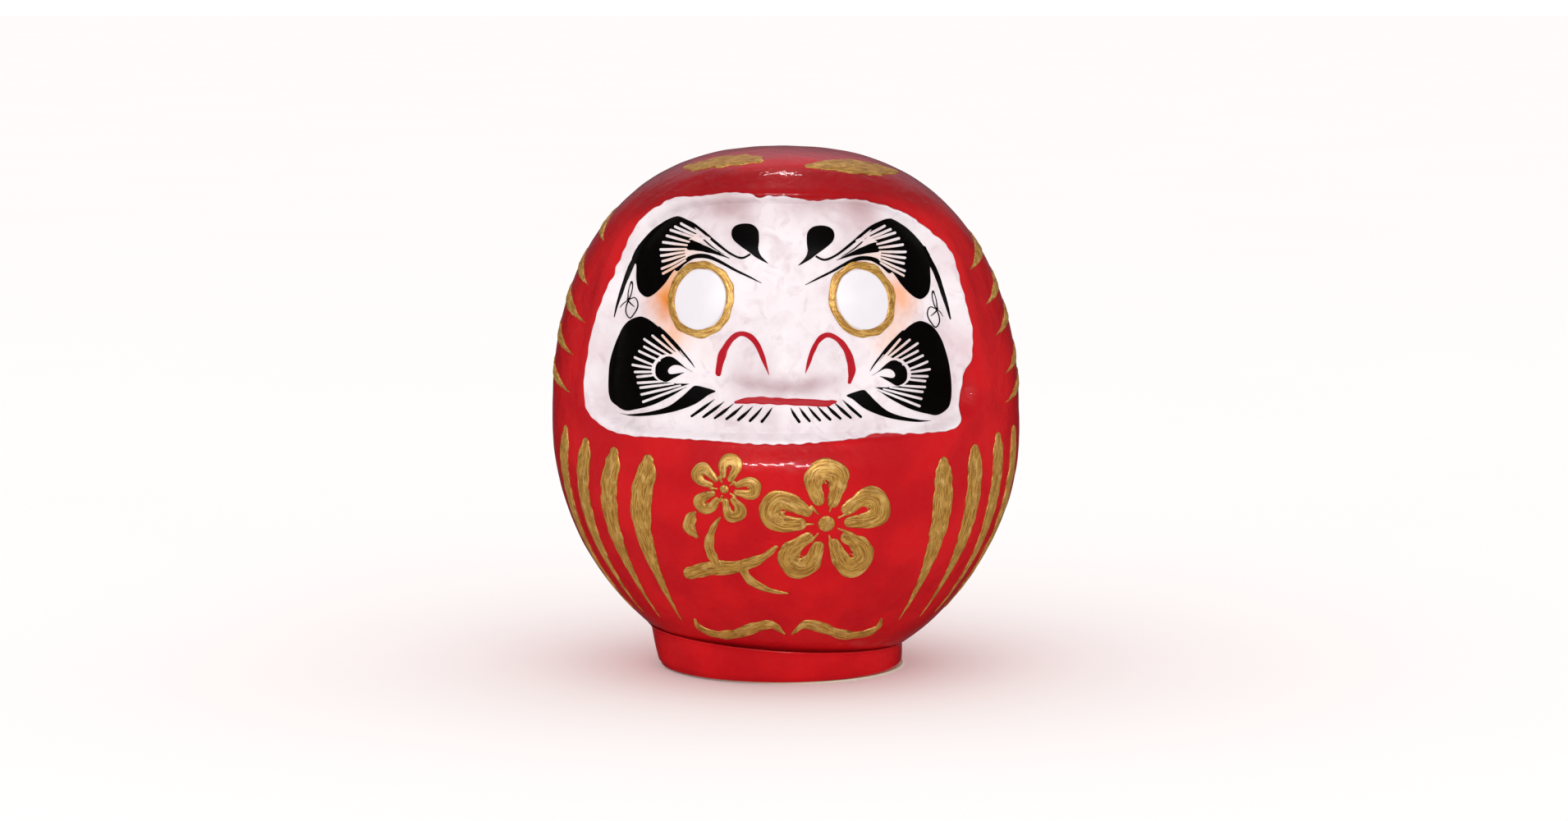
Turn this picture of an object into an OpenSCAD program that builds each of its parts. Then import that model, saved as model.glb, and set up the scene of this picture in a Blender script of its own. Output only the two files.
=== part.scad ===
// Daruma doll: a hollow papier-mache body on a weighted clay foot, with painted layers.
// Millimetres. The origin is on the table under the middle of the doll, +Z is up,
// and the face looks along -Y. "Left" is the side at -X, on the viewer's left.

/* [Body] */
// Height from the table to the crown
height = 200; // [196:1:204]
// Half of the body's greatest width
half_w = 89.8; // [88:0.1:92]
// Depth of the front half at its fullest, before the relief
front_d = 84.5; // [83:0.5:86]
// Height at which the body is widest
waist_z = 92.2; // [90:0.1:95]
// Drop from the waist to the virtual bottom of the belly's curve, which the foot hides
belly_h = 97; // [96:0.1:98]
// Squareness of the crown seen from the front (2 is an ellipse)
crown_p = 2.38; // [2.2:0.02:2.5]
// Squareness of the belly
belly_p = 1.92; // [1.85:0.01:2]
// Squareness of the hood seen from the side, which gives it its ridge over the face
hood_p = 4.6; // [4:0.1:5]
// Thickness of the papier-mache wall
wall = 2.5; // [2:0.1:3]
// Radius of the opening under the body, which the foot plugs
opening_r = 34; // [32:1:38]

/* [Foot] */
// Radius of the foot at the table
foot_r = 46.2; // [45:0.1:47.5]
// Radius of the foot where it meets the body
foot_top_r = 48.8; // [48:0.1:50]
// Height of the foot's upper edge
foot_top_z = 11.2; // [10.6:0.1:11.4]
// Height of the weight that stands inside the body
plug_h = 10; // [8:1:14]
// Thickness of the glue between foot and body
glue_t = 0.4; // [0.2:0.1:0.6]
// Thickness of the paper disc under the foot
paper_t = 0.6; // [0.4:0.1:1]

/* [Seam] */
// Width of the paper strip that joins the two half shells from inside
strip_w = 12; // [8:1:16]
// Thickness of the strip
strip_t = 0.8; // [0.5:0.1:1.5]

/* [Face] */
// Height of the middle of the face window
window_z = 140.6; // [139:0.1:142]
// Half of the window's height
window_h = 44.4; // [43:0.1:46]
// Half of the window's width at its middle
window_w = 67; // [65:0.5:70]
// How much wider each side gets per millimetre downwards
window_taper = 0.22; // [0.15:0.01:0.25]
// Depth of the face behind the hood
recess = 5; // [3:0.5:6]
// How far the nose stands out of the face
nose_out = 10.5; // [8:0.5:11]
// Half of the distance between the eyes
eye_x = 31; // [30:0.1:32]
// How far the pair of eyes sits towards the left
eye_shift = 1.2; // [0:0.1:2]
// Height of the eyes
eye_z = 147.4; // [146:0.1:149]
// Outer radius of the gold eye ring
eye_r = 13.4; // [12.5:0.1:14]
// Width of the gold eye ring
ring_w = 3; // [2:0.1:3.5]

/* [Paint] */
// Thickness of each painted layer
coat_t = 0.45; // [0.3:0.05:0.6]
// How deep a layer bites into what is under it
bite = 0.1; // [0.05:0.05:0.2]

/* [Hidden] */

RED = [0.74, 0.09, 0.12];
WHITE = [0.95, 0.92, 0.93];
BLACK = [0.03, 0.02, 0.02];
GOLD = [0.70, 0.53, 0.22];
LIP_RED = [0.68, 0.10, 0.15];
CLAY = [0.62, 0.50, 0.40];
PAPER = [0.86, 0.82, 0.74];

crown_h = height - waist_z;
window_top_p = 3.5;                      // squareness of the window's upper and lower half
window_low_p = 6.3;
face_top_z = 186;                        // rows are evenly spaced from the waist to here
belly_steps = 14;
face_steps = 27;
crown_steps = 7;
columns = 38;
low_angle = asin(curve(1, opening_r / half_w, belly_p));
strip_gap = 0.3;                         // clearance between the strip and the wall
plug_gap = 1;                            // clearance of the plug in the opening

// ---- curves ----

// Superellipse: the other coordinate at the share u, for a half-axis r and squareness p
function curve(r, u, p) = r * pow(max(0, 1 - pow(abs(u), p)), 1 / p);

// Slope angle of that curve's outward normal above the horizontal
function lean(r, h, u, p) =
    atan2(pow(abs(u), p - 1) / h, pow(max(0.0001, 1 - pow(abs(u), p)), (p - 1) / p) / r);

function share(z) = z > waist_z ? (z - waist_z) / crown_h : (waist_z - z) / belly_h;
function half_width(z) = curve(half_w, share(z), z > waist_z ? crown_p : belly_p);
function half_depth(z) = curve(front_d, share(z), z > waist_z ? hood_p : belly_p);

// Height of the belly's underside at a radius
function under_z(r) = waist_z - curve(belly_h, r / half_w, belly_p);

function ramp(t) = let (c = max(0, min(1, t))) c * c * (3 - 2 * c);
function hump(x, z, cx, cz, wx, wz) = exp(-pow((x - cx) / wx, 2) - pow((z - cz) / wz, 2));

// ---- relief of the front ----

// 1 in the middle of the face window, 0 on its edge, negative outside it
function inside(x, z) =
    let (p = z > window_z ? window_top_p : window_low_p,
         w = window_w - window_taper * (z - window_z))
    1 - pow(pow(abs(x) / w, p) + pow(abs(z - window_z) / window_h, p), 1 / p);

// Nose, brows, eyes, cheeks and mouth, which stand out of the face
function features(x, z) =
    let (u = abs(x))
    nose_out * hump(x, z, 0, 120.5, 12, z > 120.5 ? 15 : 5)
    + 4 * hump(x, z, 0, 142.5, 9, 16)
    + 4.5 * hump(u, z, 15, 122.5, 8, z > 122.5 ? 9 : 5)
    + 2.5 * hump(u, z, 27.5, 165.5, 18, 6)
    + 2 * hump(u, z, eye_x, eye_z, 11, 11)
    + 3 * hump(u, z, 45.5, 120, 16, 16)
    + 2.5 * hump(x, z, 0, 107, 28, 8);

// How far the front stands out of its plain curve
function relief(x, z) =
    let (g = inside(x, z))
    -recess * ramp(g / 0.07)
    + 1.2 * exp(-pow((g + 0.03) / 0.05, 2)) * ramp((z - 92) / 16)
    + 4.5 * hump(x, z, 0, 86, 42, z > 86 ? 9 : 26)
    + features(x, z) * ramp(g / 0.12);

// ---- the skin: a point at an angle round the body and a height ----
// Angle 0 is the middle of the front, 90 the right side, 180 the back.

function outward(t, z) =
    let (front = abs(t) < 90,
         a = half_width(z),
         b = front ? half_depth(z) : a,
         flat = [sin(t) / max(a, 0.01), -cos(t) / max(b, 0.01)],
         n = flat / norm(flat),
         tip_a = z > waist_z ? lean(half_w, crown_h, share(z), crown_p)
                             : -lean(half_w, belly_h, share(z), belly_p),
         tip_b = z > waist_z ? lean(front_d, crown_h, share(z), hood_p)
                             : -lean(front_d, belly_h, share(z), belly_p),
         tip = front ? tip_a * pow(sin(t), 2) + tip_b * pow(cos(t), 2) : tip_a)
    [n.x * cos(tip), n.y * cos(tip), sin(tip)];

function skin(t, z, lift) =
    let (front = abs(t) < 90,
         a = half_width(z),
         b = front ? half_depth(z) : a,
         n = outward(t, z),
         level = [n.x, n.y, 0] / max(0.01, norm([n.x, n.y])),
         push = front ? relief(a * sin(t), z) * ramp((90 - abs(t)) / 12) : 0)
    [a * sin(t), -b * cos(t), z] + push * level + lift * n;

// The angle round the body of a point seen from the front at x
function turn(x, z) = asin(max(-1, min(1, x / half_width(z))));

// Height of the crown over a point of the plan, by halving
function crown_z(x, y, low = waist_z, high = height, steps = 18) =
    let (z = (low + high) / 2,
         a = half_width(z),
         b = y < 0 ? half_depth(z) : a)
    steps == 0 ? z
    : pow(x / a, 2) + pow(y / b, 2) < 1 ? crown_z(x, y, z, high, steps - 1)
    : crown_z(x, y, low, z, steps - 1);

// ---- shells ----

// Heights of the shells' rows, from the opening to just under the crown
rows = concat(
    [for (i = [0 : belly_steps - 1]) waist_z - belly_h * sin(low_angle * (1 - i / belly_steps))],
    [for (i = [0 : face_steps - 1]) waist_z + (face_top_z - waist_z) * i / face_steps],
    [for (i = [0 : crown_steps - 1])
        let (from = asin((face_top_z - waist_z) / crown_h))
        waist_z + crown_h * sin(from + (90 - from) * i / crown_steps)]);

// Angles of the columns, closer together in the middle of the face
turns = [for (j = [0 : columns]) let (t = 2 * j / columns - 1) 90 * (0.72 * t + 0.28 * pow(t, 3))];

// Half profile in the plane of the seam, pushed inwards by a depth
function profile(depth) =
    concat([for (z = rows) let (p = skin(90, z, -depth)) [p.x, p.z]], [[0, height - depth]]);

function reversed(list) = [for (i = [len(list) - 1 : -1 : 0]) list[i]];

// Two triangles for each cell of a grid of points, turned to face outwards when seen upright
function cells(first, width, rows, columns, flip = false) =
    [for (i = [0 : rows - 1]) for (j = [0 : columns - 1])
        let (a = first + i * width + j, b = a + width, c = b + 1, d = a + 1)
        each flip ? [[a, c, b], [a, d, c]] : [[a, b, c], [a, c, d]]];

module front_shell() {
    width = columns + 1;
    count = len(rows) * width;
    outer = [for (z = rows) for (t = turns) skin(t, z, 0)];
    inner = [for (z = rows) for (t = turns) skin(t, z, -wall)];
    top = 2 * count;
    last = (len(rows) - 1) * width;
    color(RED)
        polyhedron(
            points = concat(outer, inner, [[0, 0, height], [0, 0, height - wall]]),
            faces = concat(
                cells(0, width, len(rows) - 1, columns),
                cells(count, width, len(rows) - 1, columns, true),
                [for (j = [0 : columns - 1]) [last + j, top, last + j + 1]],
                [for (j = [0 : columns - 1]) [count + last + j + 1, top + 1, count + last + j]],
                [for (j = [0 : columns - 1])
                    each [[j, j + 1, count + j], [j + 1, count + j + 1, count + j]]],
                [for (i = [0 : len(rows) - 2])
                    let (a = i * width, b = a + width)
                    each [[a, count + a, b], [count + a, count + b, b]]],
                [for (i = [0 : len(rows) - 2])
                    let (a = i * width + columns, b = a + width)
                    each [[a, b, count + a], [count + a, b, count + b]]],
                [[last, count + last, top], [count + last, top + 1, top],
                 [last + columns, top, count + last + columns],
                 [count + last + columns, top, top + 1]]));
}

module rear_shell() {
    color(RED)
        rotate_extrude(angle = 180, $fn = 96)
            polygon(concat(profile(0), reversed(profile(wall))));
}

// Band inside the seam: right side from the opening to the crown, then down the left
module seam_strip() {
    function band(depth) =
        let (half = profile(depth), n = len(half) - 1)
        concat(half, [for (i = [n - 1 : -1 : 0]) [-half[i].x, half[i].y]]);
    color(PAPER)
        rotate([90, 0, 0])
            linear_extrude(strip_w, center = true)
                polygon(concat(band(wall + strip_gap), reversed(band(wall + strip_gap + strip_t))));
}

// ---- foot ----

cup_rs = [for (i = [0 : 8]) foot_top_r - (foot_top_r - opening_r) * i / 8];

module clay_foot() {
    plug_r = opening_r - plug_gap;
    color(RED)
        rotate_extrude($fn = 96)
            polygon(concat(
                [[0, paper_t], [foot_r - 0.6, paper_t], [foot_r, paper_t + 0.8],
                 [foot_r + 1.4, foot_top_z / 2], [foot_top_r, foot_top_z]],
                [for (r = cup_rs) [r, under_z(r) - glue_t]],
                [[plug_r, under_z(plug_r) - glue_t], [plug_r, plug_h], [plug_r - 4, plug_h + 2],
                 [0, plug_h + 2]]));
}

module foot_glue() {
    ring = [for (i = [1 : 6]) cup_rs[i]];
    color(CLAY)
        rotate_extrude($fn = 96)
            polygon(concat([for (r = ring) [r, under_z(r) - glue_t]],
                           [for (r = reversed(ring)) [r, under_z(r) - 0.05]]));
}

module bottom_paper() {
    color(PAPER)
        cylinder(h = paper_t, r = foot_r - 1, $fn = 96);
}

// ---- painted layers ----

// Closed thin solid between two grids of points
module layer(top, bottom) {
    n = len(top);
    m = len(top[0]);
    k = n * m;
    polyhedron(
        points = concat([for (row = top) each row], [for (row = bottom) each row]),
        faces = concat(
            cells(0, m, n - 1, m - 1),
            cells(k, m, n - 1, m - 1, true),
            [for (i = [0 : n - 2])
                let (a = i * m, b = a + m)
                each [[a, k + a, b], [k + a, k + b, b]]],
            [for (i = [0 : n - 2])
                let (a = i * m + m - 1, b = a + m)
                each [[a, b, k + a], [k + a, b, k + b]]],
            [for (j = [0 : m - 2])
                each [[j, j + 1, k + j], [j + 1, k + j + 1, k + j]]],
            [for (j = [0 : m - 2])
                let (a = (n - 1) * m + j)
                each [[a, k + a, a + 1], [k + a, k + a + 1, a + 1]]]));
}

// Layer over a grid of [x, z] points seen from the front, on top of so many other layers
module coat(grid, under = 0) {
    low = under * coat_t - bite;
    high = (under + 1) * coat_t;
    layer([for (row = grid) [for (p = row) skin(turn(p.x, p.y), p.y, high)]],
          [for (row = grid) [for (p = row) skin(turn(p.x, p.y), p.y, low)]]);
}

// Smooth path through knots of [across, up, half-width]
function bend(k, i, t) =
    let (a = k[max(i - 1, 0)], b = k[i], c = k[i + 1], d = k[min(i + 2, len(k) - 1)])
    0.5 * (2 * b + (c - a) * t + (2 * a - 5 * b + 4 * c - d) * t * t
           + (3 * b - a - 3 * c + d) * t * t * t);
function smooth(k, n) =
    concat([for (i = [0 : len(k) - 2]) for (j = [0 : n - 1]) bend(k, i, j / n)], [k[len(k) - 1]]);

// Grid of points across a brush stroke; side -1 mirrors it
function brush(knots, side = 1, steps = 3, lanes = 1) =
    let (path = [for (p = smooth(knots, steps)) [side * p.x, p.y, p.z]],
         end = len(path) - 1)
    [for (i = [0 : end])
        let (d = path[min(i + 1, end)] - path[max(i - 1, 0)],
             across = [d.y, -d.x] / norm([d.x, d.y]))
        [for (j = [0 : lanes])
            [path[i].x, path[i].y] + across * path[i].z * (2 * j / lanes - 1)]];

// Grid over an ellipse
function oval(x, z, rx, rz, steps = 12, lanes = 6) =
    [for (i = [0 : steps])
        let (a = -84 + 168 * i / steps)
        [for (j = [0 : lanes]) [x + rx * cos(a) * (2 * j / lanes - 1), z + rz * sin(a)]]];

module face_coat() {
    steps = 26;
    lanes = 22;
    grid = [for (i = [0 : steps])
        let (v = sin(-84 + 168 * i / steps),
             z = window_z + window_h * v,
             p = v > 0 ? window_top_p : window_low_p,
             w = curve(window_w - window_taper * (z - window_z), v, p))
        [for (j = [0 : lanes]) [w * (2 * j / lanes - 1), z]]];
    color(WHITE) coat(grid);
}

module eye_white(side) {
    r = eye_r - ring_w;
    color("white") coat(oval(side * eye_x - eye_shift, eye_z, r, r), 1);
}

module eye_ring(side) {
    steps = 30;
    grid = [for (i = [0 : steps])
        let (a = -i * 358 / steps)
        [for (r = [eye_r - ring_w + 0.1, eye_r])
            [side * eye_x - eye_shift + r * cos(a), eye_z + r * sin(a)]]];
    color(GOLD) coat([for (row = grid) reversed(row)], 1);
}

// The crane: a heavy outer mass that thins into a long inner line, a lid line, a tail and a drop
brow_knots = [
    [[52.4, 149.2, 1.5], [51.9, 153.7, 4.5], [51.4, 159.7, 5.8], [49.4, 165.6, 5.5],
     [45.5, 170.6, 3.6], [39.5, 173.5, 1.6], [32.6, 171.9, 0.8], [24.8, 167.3, 0.6],
     [17.8, 163.8, 0.5], [12.8, 163.3, 0.4]],
    [[59.8, 157.8, 1.3], [62.1, 152.9, 1.6], [64.3, 145.9, 1.1], [66.1, 139, 0.3]],
    [[41.5, 158.1, 1.5], [34.5, 162.7, 1.1], [29.1, 163, 0.9], [17.8, 158.4, 0.6],
     [7.4, 153.9, 0.3]],
    [[17.8, 172.8, 1.8], [13.3, 170.3, 4.4], [10.4, 165.8, 2], [8.9, 162.8, 0.8],
     [5.1, 160.8, 0.3]],
    [[37.1, 166.6, 0.9], [35.1, 166.4, 1.8], [28.7, 165.6, 1.1], [20.7, 163.1, 0.3]]];

// The tortoise: a cheek mass, its inner line, a crescent and a moustache fin
beard_knots = [
    [[55.5, 138.3, 1.5], [58.9, 133.9, 4.5], [60.9, 127, 5.5], [62.3, 118.1, 6],
     [60.8, 110.2, 5.2], [56.3, 107, 1.2]],
    [[49.5, 139.1, 0.6], [45.1, 136.2, 0.8], [40.6, 131.3, 0.8], [37.3, 127.8, 0.6],
     [34.2, 122.8, 0.3]],
    [[35.6, 121.3, 0.4], [40.6, 124.4, 1], [45.6, 123.4, 2], [46.5, 119.9, 2.2],
     [42.5, 117.9, 0.9], [39.6, 119.2, 0.3]],
    [[26, 114.4, 0.3], [32.6, 112.7, 1.7], [39.5, 110, 1.8], [47.4, 106.7, 1],
     [55.3, 104.5, 0.7], [63.3, 103.3, 0.3]]];

nostril_knots = [[23, 120.3, 1.5], [22.1, 127.7, 1.2], [18.8, 133.1, 0.9], [15.1, 135.4, 0.9],
                 [10.9, 132.1, 0.8], [8.4, 127.1, 0.7], [6.1, 121.7, 0.3]];

mouth_knots = [[-18.9, 110.6, 0.7], [-10, 111.1, 1.1], [0, 110.9, 1.2], [10, 110.6, 1.1],
               [18.4, 110.3, 0.9]];

// Strokes on one side; the painter set the right side's narrower by a share and lower by a drop
module strokes(knot_sets, side, narrower, drop) {
    for (knots = knot_sets) {
        placed = side < 0 ? knots : [for (k = knots) [k.x * (1 - narrower), k.y - drop, k.z]];
        coat(brush(placed, side, 3, 2), 1);
    }
}

module brow(side) {
    color(BLACK) strokes(brow_knots, side, 0.01, 0.7);
}

module beard(side) {
    color(BLACK) strokes(beard_knots, side, 0.07, 1.2);
}

module nostril(side) {
    color(LIP_RED) coat(brush(nostril_knots, side, 3), 1);
}

module mouth_line() {
    color(LIP_RED) coat(brush(mouth_knots), 1);
}

// Seven short hairs on each side of the chin, spreading outwards and thicker below
module chin_whiskers() {
    color(BLACK)
        for (side = [-1, 1])
            for (i = [0 : 6]) {
                top = [5 + (side < 0 ? 3.7 : 2.8) * i, 108.7 + 0.4 * i, 0.3];
                low = [9 + (side < 0 ? 4.5 : 3.5) * i, 103.6 + 0.2 * i, 0.7];
                coat(brush([top, low], side, 2), 1);
            }
}

// ---- gold on the body ----

// Layer along knots of [angle round the body, height, half-width in millimetres]
module wrapped(knots, side) {
    mm = 180 / PI / half_w;
    flat = [for (k = knots) [k.x / mm, k.y, k.z]];
    grid = brush(flat, side, 3);
    layer([for (row = grid) [for (p = row) skin(p.x * mm, p.y, coat_t)]],
          [for (row = grid) [for (p = row) skin(p.x * mm, p.y, -bite)]]);
}

// Five wedges on the side of the hood, which rise from their tips beside the face
module hood_strokes(side) {
    color(GOLD)
        for (i = [0 : 4]) {
            z = (side < 0 ? [165.5, 149.5, 136, 123.5, 109] : [155.5, 142.5, 130.5, 115.5, 105])[i];
            tip = (side < 0 ? [69, 65.5, 61.5, 65.5, 65] : [62.5, 65, 66.5, 68.5, 67.5])[i];
            wrapped([[tip, z, 0.3], [tip + 8, z + 2, 1.4], [tip + 20, z + 5, 2.3],
                     [tip + 32, z + 8, 2.6], [tip + 42, z + 10, 1.2]], side);
        }
}

// Four long folds down the side of the robe
module body_stripes(side) {
    first = side < 0 ? 34 : 40;
    color(GOLD)
        for (i = [0 : 3]) {
            t = first + 11.2 * i;
            w = 4.1 - 0.5 * i;
            z = 87 + 2 * i;
            tilt = side < 0 ? 6 : 2;
            wrapped([[t, z, 0.5 * w], [t, z - 5, 0.9 * w], [t + 0.5 * tilt, z - 14, w],
                     [t + 0.9 * tilt, 62, w], [t + tilt, 46, 0.7 * w], [t + tilt, 25, 0.4]], side);
        }
}

// Two broad dabs over the crown, seen from above
module crown_strokes() {
    left = [[-36, -24, 2], [-29, -33, 6], [-21, -40, 7.5], [-13, -47, 5.5], [-8.5, -52, 2]];
    right = [[9, -57, 1.2], [15, -53, 3.5], [24, -45, 6], [32, -34, 6.5], [38, -24, 4], [43, -15, 1]];
    color(GOLD)
        for (knots = [left, right]) {
            grid = brush(knots, 1, 3, 2);
            layer([for (row = grid) [for (p = row) [p.x, p.y, crown_z(p.x, p.y) + coat_t]]],
                  [for (row = grid) [for (p = row) [p.x, p.y, crown_z(p.x, p.y) - bite]]]);
        }
}

// Five petals round a small heart
module blossom(x, z, r, turned) {
    for (i = [0 : 4]) {
        a = turned + 72 * i;
        coat(oval(x + 0.62 * r * cos(a), z + 0.62 * r * sin(a), 0.33 * r, 0.33 * r, 8, 4));
    }
    coat(oval(x, z, 0.2 * r, 0.2 * r, 6, 2));
}

// Spray of blossom on the chest
module chest_flower() {
    color(GOLD) {
        blossom(14, 66, 24, 90);
        blossom(-22, 79, 13, 75);
        coat(brush([[-36, 45, 2.6], [-28, 47.5, 3.2], [-19, 48.5, 2.6], [-10, 52, 1.8]], 1, 3));
        coat(brush([[-28, 52, 1.6], [-28.5, 57, 1.9], [-27, 63, 1]], 1, 3));
    }
}

// Pair of flat scrolls just above the foot
module foot_scroll() {
    color(GOLD)
        for (side = [-1, 1])
            coat(brush([[1.5, 20.5, 0.5], [6, 24.5, 1.8], [13, 23, 2.4], [21, 20, 2.2],
                        [29, 19.5, 1.6], [35, 23, 0.5]], side, 3));
}

front_shell();
rear_shell();
seam_strip();
clay_foot();
foot_glue();
bottom_paper();
face_coat();
eye_white(-1);  // eye_white_left
eye_white(1);  // eye_white_right
eye_ring(-1);  // eye_ring_left
eye_ring(1);  // eye_ring_right
brow(-1);  // brow_left
brow(1);  // brow_right
beard(-1);  // beard_left
beard(1);  // beard_right
nostril(-1);  // nostril_left
nostril(1);  // nostril_right
mouth_line();
chin_whiskers();
hood_strokes(-1);  // hood_strokes_left
hood_strokes(1);  // hood_strokes_right
body_stripes(-1);  // body_stripes_left
body_stripes(1);  // body_stripes_right
crown_strokes();
chest_flower();
foot_scroll();
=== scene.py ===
"""Looks of the daruma doll: lacquered body, white face and brushwork on its CAD frame.

Shapes are worked out in millimetres and turned into metres when a mesh is made.
Angles round the body start at the middle of the front, and grow towards +X.
"""

import math

import bpy
import numpy as np
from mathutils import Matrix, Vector
from mathutils.geometry import delaunay_2d_cdt
from mathutils.kdtree import KDTree


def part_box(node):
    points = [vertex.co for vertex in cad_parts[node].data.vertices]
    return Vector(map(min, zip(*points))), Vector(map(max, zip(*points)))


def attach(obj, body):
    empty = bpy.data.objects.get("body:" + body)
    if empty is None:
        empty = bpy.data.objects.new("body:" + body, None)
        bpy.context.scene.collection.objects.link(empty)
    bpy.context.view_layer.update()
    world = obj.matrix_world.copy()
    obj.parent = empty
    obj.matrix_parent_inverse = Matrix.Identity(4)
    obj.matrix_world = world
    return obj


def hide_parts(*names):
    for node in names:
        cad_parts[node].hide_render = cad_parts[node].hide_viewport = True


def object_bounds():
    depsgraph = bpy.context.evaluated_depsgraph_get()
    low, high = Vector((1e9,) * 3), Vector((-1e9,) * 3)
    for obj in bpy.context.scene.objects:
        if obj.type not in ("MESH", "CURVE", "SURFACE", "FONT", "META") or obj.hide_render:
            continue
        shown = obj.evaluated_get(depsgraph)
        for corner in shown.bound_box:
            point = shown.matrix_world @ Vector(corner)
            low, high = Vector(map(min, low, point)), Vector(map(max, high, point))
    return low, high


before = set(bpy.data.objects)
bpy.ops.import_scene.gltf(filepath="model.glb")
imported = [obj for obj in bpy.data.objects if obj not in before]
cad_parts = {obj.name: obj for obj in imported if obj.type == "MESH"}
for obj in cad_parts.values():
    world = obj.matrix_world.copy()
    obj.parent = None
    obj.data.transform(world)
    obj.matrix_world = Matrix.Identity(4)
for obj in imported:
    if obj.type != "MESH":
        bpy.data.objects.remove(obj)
cad_low, cad_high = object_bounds()


# ---- driving sizes, from the frame ----

MM = 1000.0                                   # millimetres in a metre
HEIGHT = cad_high.z * MM
HALF_W = (cad_high.x - cad_low.x) / 2 * MM
FRONT_D = 0.941 * HALF_W                      # depth of the front half, before its relief
WAIST_Z = 0.461 * HEIGHT
CROWN_H = HEIGHT - WAIST_Z
BELLY_H = 0.485 * HEIGHT
CROWN_P = 2.38                                # squareness of the crown seen from the front
BELLY_P = 1.92
HOOD_P = 4.6                                  # squareness of the hood seen from the side
WALL = 2.5
OPENING_R = 34.0
LEAN = -0.0115                                # how far the doll leans to its side on the way up

EYE_X = {-1: -32.2, 1: 29.8}                  # the painter set the eyes off the middle
EYE_Z = 147.4
EYE_W, EYE_H, EYE_TILT = 12.6, 14.3, 24.0     # half-axes of the gold ring, and its tilt
RING_W = 3.0

WINDOW_Z = 0.703 * HEIGHT
WINDOW_H = 44.4
WINDOW_W = 67.0
WINDOW_TAPER = 0.22
RECESS = 5.0
COAT = 0.45                                   # thickness of a painted layer
SINK = 0.12                                   # how far a layer sinks into the one under it

FOOT_OFF = -2.1                               # how far off the middle the foot stands, at the table
RIM_OFF = -3.8                                # and at its upper edge

FINE = 1.0
STEP = 0.35 * FINE                            # spacing of the points on an outline


# ---- curves and fields ----

def superellipse(r, u, p):
    return r * np.maximum(0.0, 1.0 - np.abs(u) ** p) ** (1.0 / p)


def half_width(z):
    crown = superellipse(HALF_W, (z - WAIST_Z) / CROWN_H, CROWN_P)
    belly = superellipse(HALF_W, (WAIST_Z - z) / BELLY_H, BELLY_P)
    return np.where(z > WAIST_Z, crown, belly)


def half_depth(z):
    hood = superellipse(FRONT_D, (z - WAIST_Z) / CROWN_H, HOOD_P)
    belly = superellipse(FRONT_D, (WAIST_Z - z) / BELLY_H, BELLY_P)
    return np.where(z > WAIST_Z, hood, belly)


def under_z(r):
    """Height of the belly's underside at a radius."""
    return WAIST_Z - superellipse(BELLY_H, r / HALF_W, BELLY_P)


def ramp(t):
    c = np.clip(t, 0.0, 1.0)
    return c * c * (3.0 - 2.0 * c)


def hump(x, z, cx, cz, wx, wz):
    return np.exp(-(((x - cx) / wx) ** 2) - ((z - cz) / wz) ** 2)


def waves(points, size, seed):
    """Smooth random field of about -1 to 1, with lumps of a size in mm."""
    rng = np.random.default_rng(seed)
    total = 0.0
    count = 10
    for _ in range(count):
        way = rng.normal(size=points.shape[1])
        way *= 2 * math.pi / (size * rng.uniform(0.7, 1.6) * np.linalg.norm(way))
        total = total + np.sin(points @ way + rng.uniform(0, 2 * math.pi))
    return np.clip(total / math.sqrt(count), -1.5, 1.5) / 1.5


# ---- the body's surface ----

def inside_window(x, z):
    """1 in the middle of the face window, 0 on its edge, negative outside it."""
    p = np.where(z > WINDOW_Z, 3.5, 6.3)
    w = WINDOW_W - WINDOW_TAPER * (z - WINDOW_Z)
    return 1.0 - ((np.abs(x) / w) ** p + (np.abs(z - WINDOW_Z) / WINDOW_H) ** p) ** (1.0 / p)


def features(x, z):
    """Nose, brows, eyes, cheeks and mouth, which stand out of the face."""
    u = np.abs(x)
    tip = 10.5 * hump(x, z, 0, 120.5, 12, np.where(z > 120.5, 15, 5))
    bridge = 4 * hump(x, z, 0, 142.5, 9, 16)
    wings = 4.5 * hump(u, z, 15, 122.5, 8, np.where(z > 122.5, 9, 5))
    brow = 2.5 * hump(u, z, 27.5, 165.5, 18, 6)
    eye = 2 * hump(u, z, 31, EYE_Z, 11, 11)
    cheek = 3 * hump(u, z, 45.5, 120, 16, 16)
    lips = 2.5 * hump(x, z, 0, 107, 28, 8)
    return tip + bridge + wings + brow + eye + cheek + lips


def relief(x, z):
    """How far the front stands out of its plain curve."""
    g = inside_window(x, z)
    lip = 1.2 * np.exp(-(((g + 0.03) / 0.05) ** 2)) * ramp((z - 92) / 16)
    chest = 4.5 * hump(x, z, 0, 86, 42, np.where(z > 86, 9, 26))
    return -RECESS * ramp(g / 0.07) + lip + chest + features(x, z) * ramp(g / 0.12)


def skin(t, z):
    """Points of the surface at angles round the body and heights."""
    wide = half_width(z)
    front = np.abs(t) < math.pi / 2
    deep = np.where(front, half_depth(z), wide)
    x = wide * np.sin(t)
    y = -deep * np.cos(t)
    nx = np.sin(t) / np.maximum(wide, 0.01)
    ny = -np.cos(t) / np.maximum(deep, 0.01)
    level = np.maximum(np.hypot(nx, ny), 1e-6)
    fade = ramp((math.pi / 2 - np.abs(t)) / math.radians(12))
    push = np.where(front, relief(x, z) * fade, 0.0)
    points = np.stack([x + push * nx / level, y + push * ny / level, z], axis=-1)
    return points + hand_made(points)


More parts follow.
